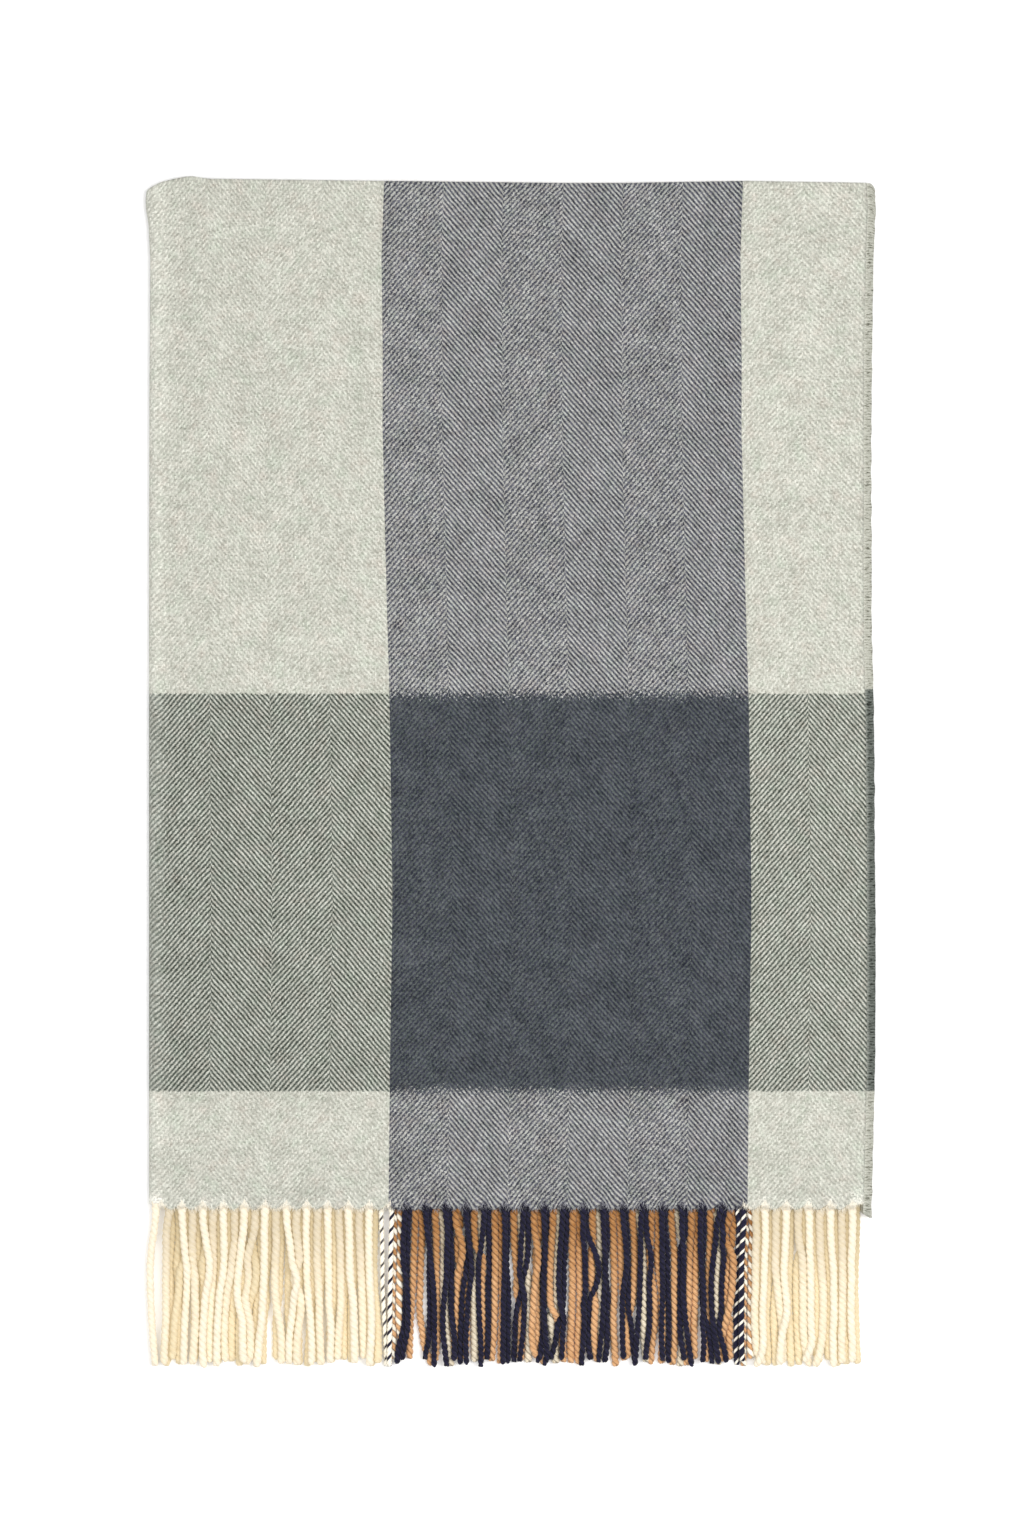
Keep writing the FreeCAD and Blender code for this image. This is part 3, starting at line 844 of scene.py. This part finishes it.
def twistTassel(acrossPath, heightPath, rng, plies, slots, fine, oddPly):
    # the plies run round each other along the laid path
    length = hemY - cadLow.y + rng.uniform(-1.5, 0.5) * tassel["lengthVary"]
    perTurn, sides = (9, 7) if fine else (7, 6)
    samples = int((length + tassel["root"]) / tassel["pitch"] * perTurn)
    t = np.linspace(0, 1, samples)
    known = np.linspace(0, 1, len(acrossPath))
    down = hemY + tassel["root"] - t * (length + tassel["root"])
    path = np.stack([np.interp(t, known, acrossPath), down, np.interp(t, known, heightPath)], 1)
    points, faces, places, marks = [], [], [], []
    girth = np.linspace(0, 2 * math.pi, sides, endpoint=False)
    run = np.concatenate([[0], np.cumsum(np.linalg.norm(np.diff(path, axis=0), axis=1))])
    start = rng.uniform(0, 2 * math.pi)
    three = len(plies) == 3
    pitch = tassel["pitch"] * rng.uniform(0.94, 1.08) * tassel["threePitch" if three else "plainPitch"]
    size = rng.uniform(0.94, 1.05)
    across, deep = 1.30 - 0.30 * smooth(0.0, 0.10, t), rootSize(t)      # wide and flat at the root
    thickness, twistRadius = girths[plies[0]]
    for k in range(len(plies)):
        turn = start + 2 * math.pi * (run / pitch + k / len(plies))
        out = np.stack([np.cos(turn), 0 * turn, np.sin(turn)], 1)
        centre = path + out * (twistRadius * size)
        ahead = np.gradient(centre, axis=0)
        ahead /= np.linalg.norm(ahead, axis=1, keepdims=True)
        sideways = np.cross(ahead, out)
        sideways /= np.linalg.norm(sideways, axis=1, keepdims=True)
        upward = np.cross(sideways, ahead)
        thick = thickness * size * (1 + 0.05 * np.sin(run / 0.004 + rng.uniform(0, 6)))
        thick = thick * (oddPly if three and k == 2 else 1.0) * (1 - 0.3 * smooth(0.985, 1.0, t))
        shell = centre[:, None] + thick[:, None, None] * (
            np.cos(girth)[None, :, None] * upward[:, None] + np.sin(girth)[None, :, None] * sideways[:, None])
        shell[:, :, 0] = path[:, None, 0] + (shell[:, :, 0] - path[:, None, 0]) * across[:, None]
        shell[:, :, 2] = path[:, None, 2] + (shell[:, :, 2] - path[:, None, 2]) * deep[:, None]
        shell[:, :, 2] = np.maximum(shell[:, :, 2], 0.0001)     # never below the floor
        base = sum(len(p) for p in points)
        points.append(shell.reshape(-1, 3))
        points.append(np.array([shell[0].mean(0), centre[-1] + ahead[-1] * thick[-1] * 0.35]))
        ring = np.arange(samples * sides).reshape(samples, sides) + base
        nextRing = np.roll(ring, -1, axis=1)
        body = np.stack([ring[:-1], nextRing[:-1], nextRing[1:], ring[1:]], -1).reshape(-1, 4)
        capStart, capEnd = base + samples * sides, base + samples * sides + 1
        startTip, endTip = np.full(sides, capStart), np.full(sides, capEnd)
        closeStart = np.stack([nextRing[0], ring[0], startTip, startTip], -1)
        closeEnd = np.stack([ring[-1], nextRing[-1], endTip, endTip], -1)
        faces += [body, closeStart, closeEnd]
        along = np.append(np.repeat(run, sides), [run[0], run[-1]]) + rng.uniform(0, 3)
        around = np.append(np.tile(0.001 * np.cos(girth), samples), [0, 0.0005])
        places.append(np.stack([along, around], 1))
        marks.append(np.full(len(body) + 2 * sides, slots[k]))
    return np.concatenate(points), np.concatenate(faces), np.concatenate(places), np.concatenate(marks)


def makeTassels(name, laid, seed):
    # all tassels of one row and colour in one piece
    rng = np.random.default_rng(seed)
    used = sorted(set(laid[0][2]), key=laid[0][2].index)
    fine = name.startswith(("front", "second"))
    allPoints, allFaces, allPlaces, allSlots, base = [], [], [], [], 0
    for acrossPath, heightPath, plies in laid:
        points, faces, places, slots = twistTassel(acrossPath, heightPath, rng, plies,
                                                   [used.index(c) for c in plies], fine,
                                                   thirdPly.get(name, 0.75))
        allPoints.append(points)
        allFaces.append(faces + base)
        allPlaces.append(places)
        allSlots.append(slots)
        base += len(points)
    parts = (np.concatenate(part) for part in (allPoints, allFaces, allPlaces, allSlots))
    return putInScene(name + "_yarn", newMesh(name + "_yarn", *parts), [yarns[c] for c in used])


for number, (name, laid) in enumerate(layFringe().items()):
    piece = makeTassels(name, laid, 100 + number)
    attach(piece, "upper_half" if name.startswith(("front", "second")) else "lower_half")
    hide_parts(name)
print("tassels:", sum(len(x) for x in rowCentres.values()))


hemFibre = {
    "count": 3200,                  # for each half of the throw
    "radius": 0.00020,
    "fanShare": 0.55,               # fibres that gather at the top of a tassel
    "fanWidth": 0.0026,
    "fanTall": 0.0075,
    "clearOfFold": 0.010,           # none closer to the lengthwise fold, which opens
}


def makeHemFibres(name, layerName, seed):
    # loose fibres that soften the edge of the cloth over the tassels
    # and gather into a small fan at the top of each one
    rng = np.random.default_rng(seed)
    count, stations, sides = hemFibre["count"], 5, 3
    up = 1 if layerName == "front" else -1
    centres = centresOf(layerName)
    lowX, highX = leftX + hemFibre["clearOfFold"], tapeX - 0.001
    x = rng.uniform(lowX, highX, count)
    fan = rng.uniform(0, 1, count) < hemFibre["fanShare"]
    beside = rng.normal(0, hemFibre["fanWidth"], count)
    x = np.where(fan, np.clip(rng.choice(centres, count) + beside, lowX, highX), x)
    phase = np.interp(x, centres, np.arange(len(centres)))
    near = np.cos(2 * math.pi * phase)
    edge = hemY + cloth["lobe"] * near
    leftMarl, rightMarl = (rowCentres[f"{layerName}_marl_tassel_{side}"][0] for side in ("left", "right"))
    inside = (x > leftMarl) & (x < rightMarl)
    tall = rng.uniform(0.0005, hemFibre["fanTall"], count) * np.where(inside, 0.6, 1.0)
    startY = edge + np.where(fan, tall * np.exp(-np.abs(beside) / 0.0032),
                             rng.uniform(0.0003, 0.0040, count))
    endY = edge - np.where(fan, rng.uniform(0.0015, 0.0060, count), rng.uniform(0.0006, 0.0040, count))
    bend = rng.normal(0, 0.0012, count) + np.where(fan, -0.45 * beside, -0.0010 * np.sin(2 * math.pi * phase))
    t = np.linspace(0, 1, stations)[None, :]
    px = x[:, None] + bend[:, None] * t ** 1.3
    py = startY[:, None] + (endY - startY)[:, None] * t
    surface = 2 * middleZ - 0.0001 if up > 0 else 0.0001
    pz = np.full_like(px, surface)
    if up > 0:
        pz = puffed(px.ravel(), py.ravel(), pz.ravel()).reshape(px.shape)
    pz = pz + up * (-0.0004 + 0.0010 * np.sin(math.pi * t) - 0.0016 * t ** 2)
    if up < 0:
        pz = np.maximum(pz, 0.00015)
    radius = hemFibre["radius"] * (1 - 0.6 * t) * rng.uniform(0.7, 1.3, (count, 1))
    turn = np.linspace(0, 2 * math.pi, sides, endpoint=False)
    ring = np.stack([np.cos(turn), 0 * turn, np.sin(turn)], 1)
    points = np.stack([px, py, pz], 2)[:, :, None, :] + radius[:, :, None, None] * ring[None, None]
    index = np.arange(count * stations * sides).reshape(count, stations, sides)
    after = np.roll(index, -1, axis=2)
    body = np.stack([index[:, :-1], after[:, :-1], after[:, 1:], index[:, 1:]], -1).reshape(-1, 4)
    caps = np.concatenate([index[:, 0, ::-1], index[:, -1]])
    caps = np.concatenate([caps, caps[:, 2:]], 1)
    pick = rng.uniform(0, 1, count)
    kind = np.where(inside, np.where(pick < np.where(fan, 0.75, 0.35), 2, 1), 0)
    slots = np.concatenate([np.repeat(kind, (stations - 1) * sides), kind, kind])
    along = np.tile(np.repeat(np.linspace(0, 0.008, stations), sides), count)
    places = np.stack([along, np.full(index.size, 0.001)], 1)
    mesh = newMesh(name, points.reshape(-1, 3), np.concatenate([body, caps]), places, slots)
    colours = ("white", "ash", "navy" if up > 0 else "caramel")
    piece = putInScene(name, mesh, [yarns[colour] for colour in colours])
    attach(piece, "upper_half" if up > 0 else "lower_half")
    return piece


makeHemFibres("upper_hem_fibres", "front", 301)
makeHemFibres("lower_hem_fibres", "back", 302)
print("hem fibres:", 2 * hemFibre["count"])

# what moves with what
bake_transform(throwCloth)
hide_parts("front_leaf", "second_leaf", "third_leaf", "back_leaf", "upper_top_fold",
            "lower_top_fold", "outer_left_fold", "inner_left_fold", "corner_fold")
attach(upperTape, "upper_half")
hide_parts("front_selvedge", "second_selvedge")
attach(lowerTape, "lower_half")
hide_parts("third_selvedge", "back_selvedge")
print("pieces tied to the two halves")


studio = {
    "cameraPlace": (0.0007, 0.0041, 4.2),
    "frameHeight": 1.487,           # metres of floor from the top of the view to the bottom
    "sensor": 36.0,
    "keyPlace": (1.1, 0.1, 2.85),
    "keySize": 1.8,
    "keyPower": 74.0,
    "fillPlace": (-1.0, -0.2, 3.0),
    "fillSize": 2.0,
    "fillPower": 45.0,
    "skyLevel": 0.45,
    "floorReach": 14.0,
    "floorDrop": -0.0004,           # a hair below the throw
}

floorMaterial, floorTree, floorShader = newMaterial("paleFloor", Roughness=0.9, Specular_IOR_Level=0.1)
floorPlaces = node(floorTree, "TexCoord").outputs["Object"]
floorNoise = node(floorTree, "TexNoise", {"Vector": floorPlaces, "Scale": 3.0, "Detail": 3.0})
floorColour = mixColour(floorTree, floorNoise.outputs["Fac"], linear(250, 250, 250), linear(253, 253, 253))
floorTree.links.new(floorColour, floorShader.inputs["Base Color"])
floorMesh = bpy.data.meshes.new("floor")
floorCorners = [(x * studio["floorReach"], y * studio["floorReach"], studio["floorDrop"])
                for x, y in ((-1, -1), (1, -1), (1, 1), (-1, 1))]
floorMesh.from_pydata(floorCorners, [], [(0, 1, 2, 3)])
floor = putInScene("floor", floorMesh, [floorMaterial])


def addLight(kind):
    # a round soft light, turned to the middle of the throw
    data = bpy.data.lights.new(kind + "Light", "AREA")
    data.shape = "DISK"
    data.size = studio[kind + "Size"]
    data.energy = studio[kind + "Power"]
    lamp = putInScene(kind + "Light", data)
    lamp.location = studio[kind + "Place"]
    lamp.rotation_euler = (-Vector(studio[kind + "Place"])).to_track_quat("-Z", "Y").to_euler()


addLight("key")
addLight("fill")

world = bpy.data.worlds.new("studio")
world.use_nodes = True
background = world.node_tree.nodes["Background"]
background.inputs["Color"].default_value = (1, 1, 1, 1)
background.inputs["Strength"].default_value = studio["skyLevel"]
bpy.context.scene.world = world

camera = bpy.data.cameras.new("camera")
camera.sensor_fit = "VERTICAL"
camera.sensor_height = studio["sensor"]
camera.lens = studio["sensor"] * studio["cameraPlace"][2] / studio["frameHeight"]
camera.clip_end = 60.0
cameraObject = putInScene("camera", camera)
cameraObject.location = studio["cameraPlace"]
bpy.context.scene.camera = cameraObject
bpy.context.scene.view_settings.view_transform = "Standard"
bpy.context.scene.view_settings.look = "None"
print("studio set")
